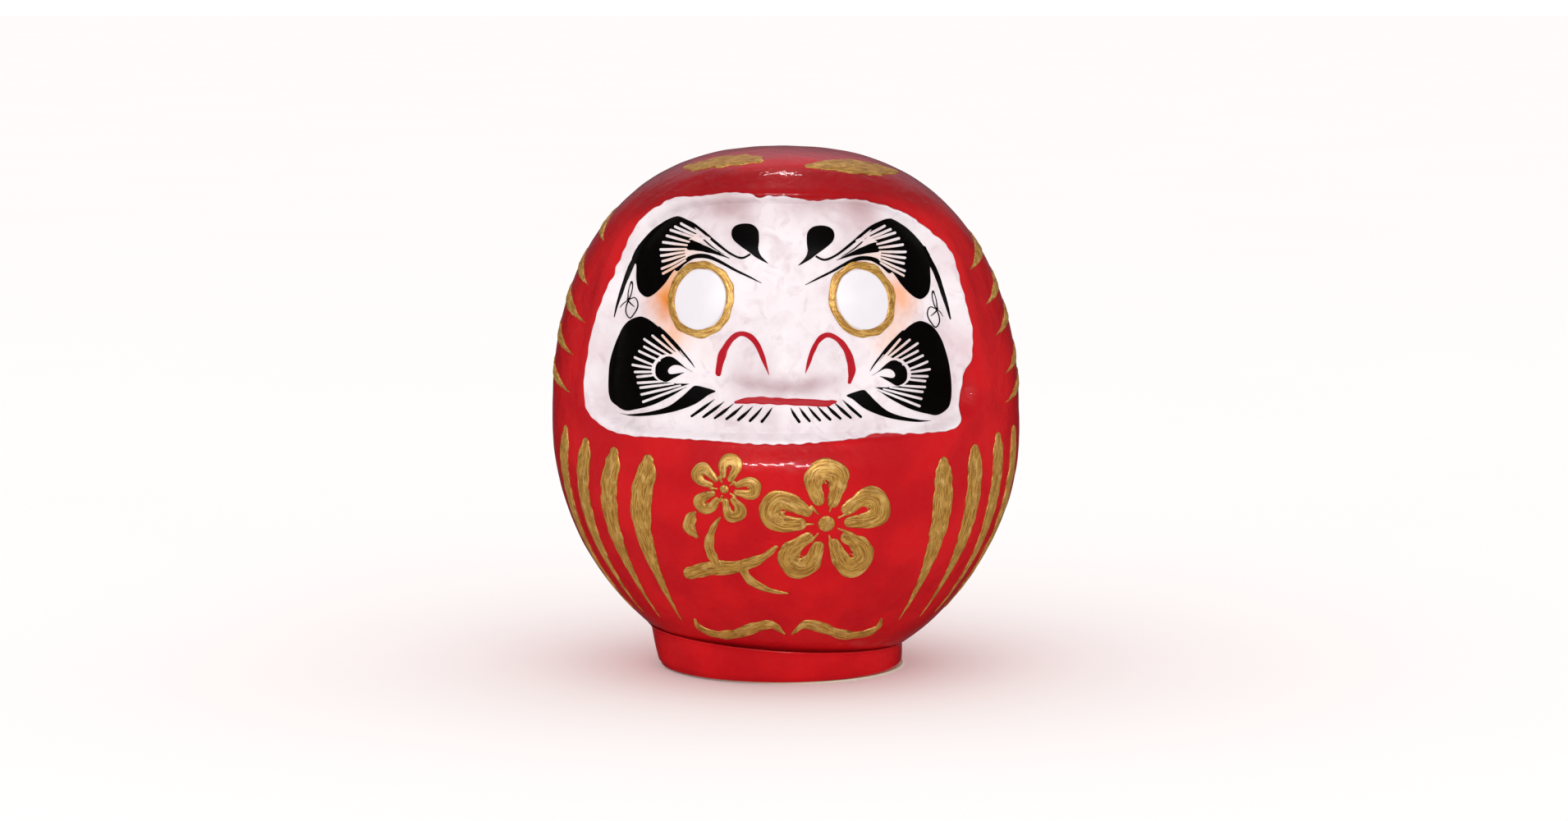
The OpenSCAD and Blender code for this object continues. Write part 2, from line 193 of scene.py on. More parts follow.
def hand_made(points):
    """Small hollows that moulding and sanding by hand leave, never outside the plain shape."""
    out = points - np.array([0.0, 0.0, WAIST_Z])
    out /= np.maximum(np.linalg.norm(out, axis=-1, keepdims=True), 1.0)
    flat = points.reshape(-1, 3)
    depth = 0.22 * (waves(flat, 34, 1) - 1) + 0.07 * (waves(flat, 9, 2) - 1)
    lean = LEAN * (points[..., 2:] - WAIST_Z) * [1, 0, 0]
    return out * depth.reshape(points.shape[:-1] + (1,)) + lean


# ---- charts: flat drawings laid on the surface ----

def front_chart(flat):
    """Drawing as seen from the front: across and height."""
    x, z = flat[:, 0], flat[:, 1]
    return skin(np.arcsin(np.clip(x / half_width(z), -1, 1)), z)


def wrap_chart(flat):
    """Drawing wrapped round the body: length round its waist, and height."""
    return skin(flat[:, 0] / HALF_W, flat[:, 1])


def crown_chart(flat):
    """Drawing on the crown as seen from above: across and depth."""
    x, y = flat[:, 0], flat[:, 1]
    low = np.full(len(flat), 150.0)
    high = np.full(len(flat), HEIGHT)
    for _ in range(30):
        z = (low + high) / 2
        deep = np.where(y < 0, half_depth(z), half_width(z))
        within = (x / half_width(z)) ** 2 + (y / deep) ** 2 < 1
        low = np.where(within, z, low)
        high = np.where(within, high, z)
    deep = np.where(y < 0, half_depth(low), half_width(low))
    return skin(np.arctan2(x / half_width(low), -y / deep), low)


def lay(chart, flat, lift):
    """Points of a drawing on a chart, lifted square off the surface."""
    step = 0.05
    here = chart(flat)
    across = chart(flat + [step, 0]) - here
    up = chart(flat + [0, step]) - here
    normal = np.cross(across, up)
    normal /= np.maximum(np.linalg.norm(normal, axis=1, keepdims=True), 1e-9)
    return here + normal * np.reshape(lift, (-1, 1))


# ---- outlines of brushwork ----

def bend(knots, closed=False):
    """Smooth dense line through knots of two or three numbers."""
    k = np.array(knots, float)
    count = len(k) if closed else len(k) - 1
    line = []
    for i in range(count):
        if closed:
            a, b, c, d = (k[(i + j) % len(k)] for j in (-1, 0, 1, 2))
        else:
            a, b, c, d = k[max(i - 1, 0)], k[i], k[i + 1], k[min(i + 2, len(k) - 1)]
        n = max(2, int(np.linalg.norm((c - b)[:2]) / STEP))
        t = (np.arange(n) / n)[:, None]
        cubic = 3 * b - a - 3 * c + d
        line.append(0.5 * (2 * b + (c - a) * t + (2 * a - 5 * b + 4 * c - d) * t**2 + cubic * t**3))
    if not closed:
        line.append(k[-1:])
    return np.concatenate(line)


def stroke(knots, rough=0.0, seed=0):
    """A brush stroke: (outline, centre line) through knots of [across, up, half-width]."""
    path = bend(knots)
    path[:, 2] = np.maximum(path[:, 2], 0.08)
    if rough:
        path[:, 2] *= 1 + rough * waves(path[:, :2], 5, seed)
    way = np.gradient(path[:, :2], axis=0)
    way /= np.maximum(np.linalg.norm(way, axis=1, keepdims=True), 1e-9)
    across = np.stack([-way[:, 1], way[:, 0]], axis=1) * path[:, 2:]
    left, right = path[:, :2] + across, path[:, :2] - across

    def cap(i, turn):
        """Half circle round an end, from its left side to its right, or back."""
        n = max(2, int(math.pi * path[i, 2] / STEP))
        a = np.linspace(0, math.pi, n + 2)[1:-1, None]
        return path[i, :2] + np.cos(a) * across[i] * turn + np.sin(a) * way[i] * path[i, 2] * turn

    outline = np.concatenate([left, cap(-1, 1), right[::-1], cap(0, -1)])
    return outline, path


def blob(knots):
    """A closed shape: (outline, None) through its knots."""
    return bend(knots, closed=True), None


def oval(x, z, wide, high, tilt=0.0, wobble=0.0, seed=0):
    """A tilted ellipse: (outline, None), which a wobble makes less even."""
    n = max(16, int(2 * math.pi * high / STEP))
    a = np.arange(n) * 2 * math.pi / n
    spoke = np.stack([wide * np.cos(a), high * np.sin(a)], axis=1)
    spoke *= 1 + wobble / high * waves(spoke, 7, seed)[:, None]
    c, s = math.cos(math.radians(tilt)), math.sin(math.radians(tilt))
    return np.array([x, z]) + spoke @ [[c, s], [-s, c]], None


def placed(knots, side, share=1.0, right=0.0, up=0.0):
    """Knots drawn by their distance from the middle, put on a side.

    On the left they are mirrored as they are. On the right they may be scaled across and moved.
    """
    if side < 0:
        return [[-k[0], *k[1:]] for k in knots]
    return [[k[0] * share + right, k[1] + up, *k[2:]] for k in knots]


# ---- painted layers ----

def winding(points, outline):
    """How often a closed outline goes round each point."""
    count = np.zeros(len(points), int)
    near = np.all((points >= outline.min(0)) & (points <= outline.max(0)), axis=1)
    x, y = points[near, :1], points[near, 1:]
    a, b = outline, np.roll(outline, -1, axis=0)
    turn = (b[:, 0] - a[:, 0]) * (y - a[:, 1]) - (x - a[:, 0]) * (b[:, 1] - a[:, 1])
    up = (a[:, 1] <= y) & (b[:, 1] > y) & (turn > 0)
    down = (a[:, 1] > y) & (b[:, 1] <= y) & (turn < 0)
    count[near] = up.sum(1) - down.sum(1)
    return count


def covered(points, outlines):
    """Whether each point lies inside any of the outlines."""
    hit = np.zeros(len(points), bool)
    for outline in outlines:
        hit |= winding(points, outline) != 0
    return hit


def nearest(points, targets):
    """(distance, index) of the nearest target for each point."""
    tree = KDTree(len(targets))
    for i, p in enumerate(targets):
        tree.insert((p[0], p[1], 0), i)
    tree.balance()
    found = [tree.find((p[0], p[1], 0)) for p in points]
    return np.array([f[2] for f in found]), np.array([f[1] for f in found])


def fill(outlines, gaps, grain, edge):
    """Triangles over the outlines but not the gaps: (points, triangles, distance to the edge)."""
    rims = outlines + gaps
    rim_points = np.concatenate(rims)
    low = np.min([o.min(0) for o in outlines], axis=0)
    high = np.max([o.max(0) for o in outlines], axis=0)
    rows = np.arange(low[1], high[1], grain * 0.87)
    columns = np.arange(low[0], high[0], grain)
    grid = np.array([(c + (i % 2) * grain / 2, r) for i, r in enumerate(rows) for c in columns])
    grid = grid[covered(grid, outlines) & ~covered(grid, gaps)]
    away, _ = nearest(grid, rim_points)
    inner = [grid[away > 0.8 * edge + 0.4 * grain]]
    for inset in (0.3 * edge, 0.8 * edge):
        ring = np.concatenate([shifted(rim, way * inset) for rim in rims for way in (-1, 1)])
        ring = ring[covered(ring, outlines) & ~covered(ring, gaps)]
        away, _ = nearest(ring, rim_points)
        inner.append(ring[away > 0.9 * inset])
    points, edges = [], []
    for rim in rims:
        start = len(points)
        points += [Vector(p) for p in rim.tolist()]
        edges += [(start + i, start + (i + 1) % len(rim)) for i in range(len(rim))]
    points += [Vector(p) for p in np.concatenate(inner).tolist()]
    made = delaunay_2d_cdt(points, edges, [], 0, 1e-5)
    flat = np.array([tuple(p) for p in made[0]])
    faces = np.array([f for f in made[2] if len(f) == 3])
    middle = flat[faces].mean(axis=1)
    faces = faces[covered(middle, outlines) & ~covered(middle, gaps)]
    used, faces = np.unique(faces, return_inverse=True)
    flat, faces = split_chords(flat[used], faces.reshape(-1, 3))
    pairs, times = edges_of(faces)
    away, _ = nearest(flat, flat[np.unique(pairs[times == 1])])
    return flat, faces, away


def edges_of(faces):
    """The edges of triangles, and how many triangles share each."""
    sides = np.sort(faces[:, [0, 1, 1, 2, 2, 0]].reshape(-1, 2), axis=1)
    return np.unique(sides, axis=0, return_counts=True)


def split_chords(flat, faces):
    """Puts a point on each inner edge between two rim points, so that thin tips get a thickness too."""
    pairs, times = edges_of(faces)
    rim = np.zeros(len(flat), bool)
    rim[pairs[times == 1]] = True
    chords = pairs[(times > 1) & rim[pairs].all(axis=1)]
    middles = {tuple(pair): len(flat) + i for i, pair in enumerate(chords.tolist())}
    made = []
    for face in faces.tolist():
        ring, first = [], None
        for a, b in zip(face, face[1:] + face[:1]):
            ring.append(a)
            middle = middles.get((min(a, b), max(a, b)))
            if middle is not None:
                first = len(ring)
                ring.append(middle)
        if first is not None:
            ring = ring[first:] + ring[:first]
            made += [[ring[0], ring[i], ring[i + 1]] for i in range(1, len(ring) - 1)]
        elif not rim[face].all():
            made.append(face)
    return np.concatenate([flat, flat[chords].mean(axis=1)]), np.array(made)


def shifted(rim, distance):
    """A closed line moved sideways."""
    way = np.roll(rim, -1, axis=0) - np.roll(rim, 1, axis=0)
    way /= np.maximum(np.linalg.norm(way, axis=1, keepdims=True), 1e-9)
    return rim + distance * np.stack([-way[:, 1], way[:, 0]], axis=1)


def paint(name, chart, shapes, gaps=(), under=0, thick=COAT, edge=0.7, grain=0.6, ridges=0.0):
    """A closed layer of paint over shapes on a chart, less the gaps.

    under is how many layers it lies on, edge how wide its round edges are, grain the spacing
    of its points, and ridges how deep the brush's hairs furrow it.
    """
    outlines = [s[0] for s in shapes]
    flat, faces, away = fill(outlines, [g[0] for g in gaps], grain * FINE, edge)
    brush = brush_lines(flat, [s[1] for s in shapes if s[1] is not None])
    rise = np.sqrt(np.maximum(0.0, 1 - (1 - np.minimum(away / edge, 1)) ** 2))
    furrow = waves(brush * [0.16, 1.3, 1.0], 1.4, 5)
    height = rise * (thick - ridges * 0.5 + ridges * 0.5 * furrow)
    low = under * COAT - SINK
    top = lay(chart, flat, np.where(away > 1e-6, under * COAT + height, low))
    bottom = lay(chart, flat, np.full(len(flat), low))
    inner = np.flatnonzero(away > 1e-6)
    below = np.arange(len(flat))
    below[inner] = len(flat) + np.arange(len(inner))
    points = np.concatenate([top, bottom[inner]])
    a, b, c = flat[faces].transpose(1, 0, 2)
    clockwise = (b - a)[:, 0] * (c - a)[:, 1] - (b - a)[:, 1] * (c - a)[:, 0] < 0
    faces[clockwise] = faces[clockwise][:, ::-1]
    made = make_mesh(name, points, np.concatenate([faces, below[faces][:, ::-1]]))
    lines = np.concatenate([brush, brush[inner]])
    made.data.attributes.new("brush", "FLOAT_VECTOR", "POINT").data.foreach_set("vector", lines.ravel())
    return made


def brush_lines(flat, paths):
    """For each point: length along its stroke, distance across it, and the stroke's number."""
    if not paths:
        return np.stack([flat[:, 0], flat[:, 1], np.zeros(len(flat))], axis=1)
    points = np.concatenate([p[:, :2] for p in paths])
    length = np.concatenate([np.cumsum(np.r_[0, np.linalg.norm(np.diff(p[:, :2], axis=0), axis=1)])
                             for p in paths])
    way = np.concatenate([np.gradient(p[:, :2], axis=0) for p in paths])
    number = np.concatenate([np.full(len(p), i) for i, p in enumerate(paths)])
    _, near = nearest(flat, points)
    off = flat - points[near]
    way = way[near] / np.maximum(np.linalg.norm(way[near], axis=1, keepdims=True), 1e-9)
    along = length[near] + (off * way).sum(1)
    across = way[:, 0] * off[:, 1] - way[:, 1] * off[:, 0]
    return np.stack([along, across, number[near] * 7.3], axis=1)


def make_mesh(name, points, faces):
    """A smooth-shaded mesh object from points in millimetres."""
    mesh = bpy.data.meshes.new(name)
    mesh.from_pydata((np.asarray(points) / MM).tolist(), [], [list(map(int, f)) for f in faces])
    mesh.update()
    mesh.polygons.foreach_set("use_smooth", np.ones(len(mesh.polygons), bool))
    made = bpy.data.objects.new(name, mesh)
    bpy.context.scene.collection.objects.link(made)
    return made


def finish_piece(piece, material, slot, *nodes):
    """Gives a piece its material and body, and hides the CAD nodes that it stands for; slot is not used."""
    piece.data.materials.append(material)
    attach(piece, "root")
    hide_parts(*nodes)


# ---- materials ----

class Nodes:
    """A node tree, and short calls to add nodes to it."""

    def __init__(self, tree):
        self.tree = tree

    def add(self, kind, links=None, **settings):
        """A node, with links from sockets or values to its inputs."""
        made = self.tree.nodes.new(kind)
        for key, value in settings.items():
            setattr(made, key, value)
        for key, value in (links or {}).items():
            if isinstance(value, bpy.types.NodeSocket):
                self.tree.links.new(value, made.inputs[key])
            else:
                made.inputs[key].default_value = value
        return made

    def spread(self, value, low, high, to_low=0.0, to_high=1.0):
        """A value from one range, smoothly turned into another."""
        links = {"Value": value, "From Min": low, "From Max": high,
                 "To Min": to_low, "To Max": to_high}
        return self.add("ShaderNodeMapRange", links, interpolation_type="SMOOTHSTEP").outputs[0]

    def blend(self, factor, low, high):
        """Two colours or sockets mixed by a factor."""
        made = self.add("ShaderNodeMix", {"Factor": factor}, data_type="RGBA")
        for index, value in ((6, low), (7, high)):
            if isinstance(value, bpy.types.NodeSocket):
                self.tree.links.new(value, made.inputs[index])
            else:
                made.inputs[index].default_value = (*value, 1.0)
        return made.outputs[2]

    def times(self, a, b):
        return self.add("ShaderNodeMath", {0: a, 1: b}, operation="MULTIPLY").outputs[0]


class Shader(Nodes):
    """A material with a Principled shader."""

    def __init__(self, name, **values):
        self.material = bpy.data.materials.new(name)
        self.material.use_nodes = True
        super().__init__(self.material.node_tree)
        self.surface = self.tree.nodes["Principled BSDF"]
        for key, value in values.items():
            self.surface.inputs[key.replace("_", " ")].default_value = value
        self.place = self.add("ShaderNodeTexCoord").outputs["Object"]

    def noise(self, scale, detail=2.0, rough=0.5, where=None, distortion=0.0):
        links = {"Vector": where or self.place, "Scale": scale, "Detail": detail,
                 "Roughness": rough, "Distortion": distortion}
        return self.add("ShaderNodeTexNoise", links).outputs["Fac"]

    def brush(self, along, across):
        """Coordinates that run along the brush strokes, stretched."""
        lines = self.add("ShaderNodeAttribute", attribute_name="brush").outputs["Vector"]
        scale = {0: lines, 1: (along, across, 1.0)}
        return self.add("ShaderNodeVectorMath", scale, operation="MULTIPLY").outputs[0]

    def near(self, place, radius):
        """1 at a place on the object, fading to 0 at a radius."""
        spot = {0: self.place, 1: tuple(place)}
        far = self.add("ShaderNodeVectorMath", spot, operation="DISTANCE").outputs["Value"]
        return self.spread(far, 0.0, radius, 1.0, 0.0)

    def bump(self, height, depth, below=None):
        """A bump of a depth in millimetres, on top of another one."""
        links = {"Height": height, "Distance": depth / MM, "Strength": 1.0}
        if below is not None:
            links["Normal"] = below
        return self.add("ShaderNodeBump", links).outputs[0]

    def set(self, **sockets):
        for key, value in sockets.items():
            self.tree.links.new(value, self.surface.inputs[key.replace("_", " ")])
        return self.material


def linear(r, g, b):
    """A colour from its usual 0 to 255 values."""
    share = [v / 255 for v in (r, g, b)]
    return tuple(v / 12.92 if v <= 0.04045 else ((v + 0.055) / 1.055) ** 2.4 for v in share)


def lacquer(name, light, dark):
    """Glossy red lacquer over lumpy paper, with painted shade: darker in a band below the crown."""
    s = Shader(name, Specular_IOR_Level=0.08, Coat_Weight=1.0, Coat_Roughness=0.04, Coat_IOR=1.26)
    patches = s.spread(s.noise(45, 3), 0.35, 0.65)
    grain = s.noise(420, 3, 0.6)
    lumps = s.noise(160, 2.5, 0.55, distortion=0.4)
    normal = s.bump(grain, 0.05, s.bump(lumps, 0.42))
    # Painted shade: the base colour darkens to a deep red in a band round the hood, below the crown.
    height = s.add("ShaderNodeSeparateXYZ", {0: s.place}).outputs["Z"]
    shade_start = s.spread(height, 0.172, 0.186, 0.0, 0.55)
    painted_shade_band = s.times(shade_start, s.spread(height, 0.192, 0.196, 1.0, 0.0))
    s.set(Base_Color=s.blend(painted_shade_band, s.blend(patches, dark, light), linear(126, 12, 20)),
          Roughness=s.spread(grain, 0.3, 0.7, 0.28, 0.45),
          Normal=normal, Coat_Normal=normal)
    return s.material


# Spots of colour on the white: across, height, radius, strength and colour. The orange ones round the eyes
# and the pink one beside the nose are blush rubbed into the white; the grey-pink ones at heights 117 to 118
# are painted shadow under the nose, those at 180 to 182 painted shadow under the hood, and those near the
# edge of the white painted shade in its recess.
BLUSH_AND_SHADE = [(-46, 146, 15, 1.0, (226, 128, 8)), (-45, 155, 12, 0.8, (234, 148, 50)),
         (-42, 135, 12, 0.7, (244, 162, 92)), (-37, 163, 14, 0.5, (245, 190, 150)),
         (44, 147, 14, 0.85, (243, 156, 84)), (40, 134, 13, 0.55, (244, 178, 128)),
         (36, 162, 14, 0.45, (245, 195, 160)), (-14, 118, 11, 0.5, (184, 146, 154)),
         (-3, 117.5, 10, 0.7, (184, 146, 154)), (9, 117.5, 10, 0.55, (184, 146, 154)),
         (20, 117, 8, 0.3, (200, 166, 172)),
         (-22, 181, 18, 1.0, (196, 168, 172)), (30, 180, 17, 0.95, (200, 170, 174)),
         (8, 182, 15, 0.8, (202, 176, 180)), (-60, 166, 14, 0.55, (200, 178, 184)),
         (-66, 108, 16, 0.4, (214, 194, 202)), (62, 108, 14, 0.4, (214, 194, 202)),
         (66, 128, 15, 0.7, (214, 182, 188)), (-70, 126, 13, 0.5, (214, 190, 196)),
         (60, 160, 13, 0.5, (214, 186, 192)), (-28, 128, 9, 0.4, (232, 205, 196))]


def gofun():
    """The face's white: powdery, faintly stained, with an orange blush round the eyes and grey-pink spots
    of painted shade and shadow.
    """
    s = Shader("gofun_white", Specular_IOR_Level=0.3)
    stain = s.spread(s.noise(38, 4, 0.62), 0.42, 0.72)
    smear = s.spread(s.noise(120, 3, 0.6, distortion=0.8), 0.5, 0.75)
    base = s.blend(stain, linear(237, 229, 233), linear(217, 202, 207))
    base = s.blend(s.times(smear, 0.6), base, linear(206, 187, 194))
    patchy = s.spread(s.noise(90, 2), 0.3, 0.6, 0.5, 1.0)
    # Each spot is blended into the white; the grey-pink ones are painted shade and shadow.
    for x, z, radius, strength, colour in BLUSH_AND_SHADE:
        place = skin(np.arcsin(x / half_width(z)), np.array(z)) / MM
        spot = s.near(place, radius / MM)
        base = s.blend(s.times(s.times(spot, patchy), strength), base, linear(*colour))
    grain = s.noise(700, 3, 0.6)
    normal = s.bump(grain, 0.05, s.bump(s.noise(110, 3), 0.25))
    s.set(Base_Color=base, Roughness=s.spread(grain, 0.3, 0.7, 0.42, 0.6), Normal=normal)
    return s.material


def eye_paint():
    """The smoother, cleaner white of the blank eyes."""
    s = Shader("eye_white", Specular_IOR_Level=0.4)
    tone = s.noise(140, 3)
    s.set(Base_Color=s.blend(tone, linear(226, 223, 228), linear(233, 230, 235)),
          Roughness=s.spread(tone, 0.3, 0.7, 0.32, 0.45),
          Normal=s.bump(s.noise(500, 2), 0.03))
    return s.material


def ink():
    """Matt black, a little uneven along the brush."""
    s = Shader("ink_black", Specular_IOR_Level=0.05)
    hairs = s.noise(1.0, 3, 0.6, where=s.brush(0.25, 3.0))
    s.set(Base_Color=s.blend(hairs, (0.0008, 0.0004, 0.0004), (0.0035, 0.0018, 0.0018)),
          Roughness=s.spread(hairs, 0.3, 0.7, 0.35, 0.6),
          Normal=s.bump(hairs, 0.05))
    return s.material


def gold():
    """Bronze-powder paint, streaked along the brush, with painted highlights in pale patches."""
    s = Shader("gold_paint", Metallic=0.35, Specular_IOR_Level=0.5)
    hairs = s.noise(1.0, 4, 0.65, where=s.brush(0.22, 2.2), distortion=0.3)
    highlight_pools = s.noise(0.35, 3, 0.6, where=s.brush(0.6, 1.0))
    powder = s.noise(1800, 2, 0.7)
    tone = s.blend(s.spread(hairs, 0.36, 0.64), linear(156, 102, 30), linear(226, 176, 82))
    # Painted highlight: pale patches along the brush; the same noise also sets the roughness.
    tone = s.blend(s.times(s.spread(highlight_pools, 0.5, 0.72), 0.6), tone, linear(248, 208, 122))
    tone = s.blend(s.times(s.spread(powder, 0.55, 0.8), 0.5), tone, linear(252, 228, 170))
    normal = s.bump(powder, 0.03, s.bump(hairs, 0.2))
    s.set(Base_Color=tone, Roughness=s.spread(highlight_pools, 0.3, 0.7, 0.3, 0.48), Normal=normal)
    return s.material


def lip_paint():
    """Deep red of the nostrils and the mouth."""
    s = Shader("lip_red", Specular_IOR_Level=0.15)
    hairs = s.noise(1.0, 3, 0.6, where=s.brush(0.3, 2.5))
    s.set(Base_Color=s.blend(hairs, linear(160, 6, 24), linear(192, 12, 34)),
          Roughness=s.spread(hairs, 0.3, 0.7, 0.3, 0.5),
          Normal=s.bump(hairs, 0.05))
    return s.material


def bare_paper():
    """Unpainted paper with its fibres."""
    s = Shader("bare_paper", Roughness=0.85, Specular_IOR_Level=0.2)
    fibre = s.noise(260, 5, 0.7, distortion=1.5)
    s.set(Base_Color=s.blend(fibre, linear(196, 184, 158), linear(226, 218, 198)),
          Normal=s.bump(fibre, 0.12))
    return s.material


def dried_glue():
    """Cloudy brown animal glue."""
    s = Shader("dried_glue", Roughness=0.35)
    cloud = s.noise(180, 3)
    s.set(Base_Color=s.blend(cloud, linear(172, 142, 92), linear(206, 182, 134)),
          Normal=s.bump(cloud, 0.1))
    return s.material


# ---- the body ----

def body_rows():
    """Heights from the opening to just under the crown, closer together where it turns."""
    ridge_z, side_rows, top_rows = 180.0, 180, 62
    low = math.asin(superellipse(1, OPENING_R / HALF_W, BELLY_P))
    turn = math.asin((ridge_z - WAIST_Z) / CROWN_H)
    sides = np.linspace(-low, turn, side_rows, endpoint=False)
    heights = [WAIST_Z + math.sin(a) * (CROWN_H if a > 0 else BELLY_H) for a in sides]
    depth = half_depth(np.array(ridge_z))
    shares = np.linspace(depth, 0, top_rows, endpoint=False) / FRONT_D
    return np.array(heights + [WAIST_Z + CROWN_H * (1 - s**HOOD_P) ** (1 / HOOD_P) for s in shares])


def ring_faces(first, width, rows):
    """Quads between rings of points, each ring closed."""
    i, j = np.meshgrid(np.arange(rows - 1), np.arange(width), indexing="ij")
    a = first + i * width + j
    b = first + i * width + (j + 1) % width
    return np.stack([a, b, b + width, a + width], axis=-1).reshape(-1, 4)


def body():
    """The whole lacquered shell, with its wall and the opening under it.

    Its inner face has every fourth point of the outer one.
    """
    around, few = 360, 90
    rows = body_rows()
    turns = np.arange(around) * 2 * math.pi / around
    turns = np.where(turns > math.pi, turns - 2 * math.pi, turns)
    t, z = np.meshgrid(turns, rows)
    outer = skin(t, z)
    covered_by_face = ramp(inside_window(outer[..., 0], z) / 0.05) * (outer[..., 1] < 0)
    outer[..., 1] += 0.35 * covered_by_face
    middle = np.array([0.0, 0.0, WAIST_Z])
    inner_rows = np.concatenate([rows[:1], rows[4::4]])
    t, z = np.meshgrid(turns[::4], inner_rows)
    inner = skin(t, z)
    inward = middle - inner
    inner += WALL * inward / np.linalg.norm(inward, axis=-1, keepdims=True)
    points = np.concatenate([outer.reshape(-1, 3), inner.reshape(-1, 3),
                             [[0, 0, HEIGHT - 0.3], [0, 0, HEIGHT - WALL]]])
    start = outer.size // 3
    top = len(points) - 2
    last, last_in = start - around, top - few
    faces = ring_faces(0, around, len(rows)).tolist()
    faces += ring_faces(start, few, len(inner_rows))[:, ::-1].tolist()
    for j in range(around):
        k = (j + 1) % around
        faces.append([last + j, last + k, top])
        faces.append([k, j, start + j // 4])
        if k % 4 == 0:
            faces.append([start + k // 4, k, start + j // 4])
    for j in range(few):
        faces.append([last_in + (j + 1) % few, last_in + j, top + 1])
    return make_mesh("body_shell", points, faces)


def foot():
    """The clay foot: a turned dish that sits a little off the middle and follows the body."""
    low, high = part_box("clay_foot")
    base, top_r, plug_z = low.z * MM, high.x * MM, high.z * MM
    bottom_r, rim_r, plug_r = 0.955 * top_r, top_r + 0.9, OPENING_R - 1
    rim_lean = LEAN * (WAIST_Z - top_r / 4)
    around = 240
    t = np.arange(around) * 2 * math.pi / around
    spokes = np.stack([np.cos(t), np.sin(t)], axis=1)
    rings = []

    def ring(r, rise, off):
        """A ring at a radius, some share of the way up from the base to the body."""
        flat = spokes * r + [off, 0.0]
        reach = np.linalg.norm(flat + [rim_lean, 0.0], axis=1)
        top = under_z(reach) + 0.3
        z = base + (top - base) * rise
        wear = 0.22 * (waves(np.column_stack([flat, z]), 26, 8) - 1)
        flat *= (1 + wear / max(r, 20) * (r > 44) * (rise < 1))[:, None]
        rings.append(np.column_stack([flat, z]))

    for r in (0.01, 12, 24, 34, 41, bottom_r - 1.2):
        ring(r, 0.0, FOOT_OFF)
    for rise, inset in ((0.01, 0.55), (0.04, 0.2), (0.09, 0.0)):
        ring(bottom_r - inset, rise, FOOT_OFF)
    for share in np.linspace(0.15, 0.9, 9):
        ring(bottom_r + (top_r - bottom_r) * share**0.8, share, FOOT_OFF + (RIM_OFF - FOOT_OFF) * share)
    ring(top_r + 0.25, 0.96, RIM_OFF)
    for r in np.linspace(rim_r, OPENING_R, 9):
        ring(r, 1.0, RIM_OFF * (r - OPENING_R) / (rim_r - OPENING_R))
    points = np.concatenate(rings + [np.column_stack([spokes * r, np.full(around, z)])
                                     for r, z in ((plug_r, 3.0), (plug_r, plug_z - 2),
                                                  (plug_r - 4, plug_z), (0.01, plug_z))])
    faces = ring_faces(0, around, len(points) // around).tolist()
    faces.append(list(range(around))[::-1])
    faces.append(list(range(len(points) - around, len(points))))
    return make_mesh("foot", points, faces)


def glue():
    """The film of glue between the belly and the foot, out of sight behind the foot's rim."""
    around = 120
    t = np.arange(around) * 2 * math.pi / around
    section = [(r, under_z(r) - 0.05) for r in np.linspace(OPENING_R + 0.3, 43, 7)]
    section += [(r, z - 0.3) for r, z in section[::-1]]
    points = [np.column_stack([r * np.cos(t), r * np.sin(t), np.full(around, z)]) for r, z in section]
    faces = ring_faces(0, around, len(section) + 1) % (around * len(section))
    return make_mesh("glue_film", np.concatenate(points), faces)


# ---- the face ----

# The edge of the white as the painter left it, from the middle of the top down the left
WINDOW = [(0, 185), (-5.5, 185.1), (-9.2, 184.3), (-11.5, 185.7), (-19.5, 186), (-30.5, 184.5),
          (-39.8, 183), (-45.2, 180), (-51.8, 175), (-56, 169.5), (-60.3, 161.5), (-63.8, 152.5),
          (-67.4, 143.5), (-70.6, 134), (-72.6, 125), (-74.2, 115), (-74, 107), (-72.5, 102.5),
          (-69, 99.4), (-64, 97.2), (-55, 96.2), (-44.3, 96.6), (-28.8, 96.4), (-12, 95.6),
          (0, 95.5), (12.5, 96.2), (27.3, 97.3), (34.5, 98.3), (46, 97.8), (59.3, 97.9),
          (63.3, 99), (66, 101.8), (67.6, 107), (68.6, 114.5), (69.4, 124), (68.7, 135),
          (66.2, 145.2), (64.3, 153), (62.6, 159.4), (60.2, 164.4), (56.9, 168.2), (52.3, 172.6),
          (47.4, 176.5), (41.6, 179.4), (35.9, 181.3), (28.4, 183.1), (20.4, 183.7), (11.9, 183.2),
          (5, 184.2)]


def window_outline():
    """The edge of the white, with the small waver of a brush."""
    edge = bend(WINDOW, closed=True)
    return edge + 0.22 * np.stack([waves(edge, 5, 31), waves(edge, 5, 32)], axis=1), None


def hairs(starts, ends, width):
    """White gaps between brush hairs, from round starts to thin ends."""
    made = []
    for (x1, z1), (x2, z2) in zip(starts, ends):
        made.append([[x1, z1, width], [(x1 + x2) / 2, (z1 + z2) / 2, width], [x2, z2, width * 0.7]])
    return made


# How the brushwork of one side is placed on the right: scaled across, and moved right and up
BROW_HAND = (1, -0.7, -0.7)
BOW_HAND = (1, -1.8, -3.2)
BEARD_HAND = (0.935, 0, -1.3)
FIN_HAND = (0.87, 0, -1.5)

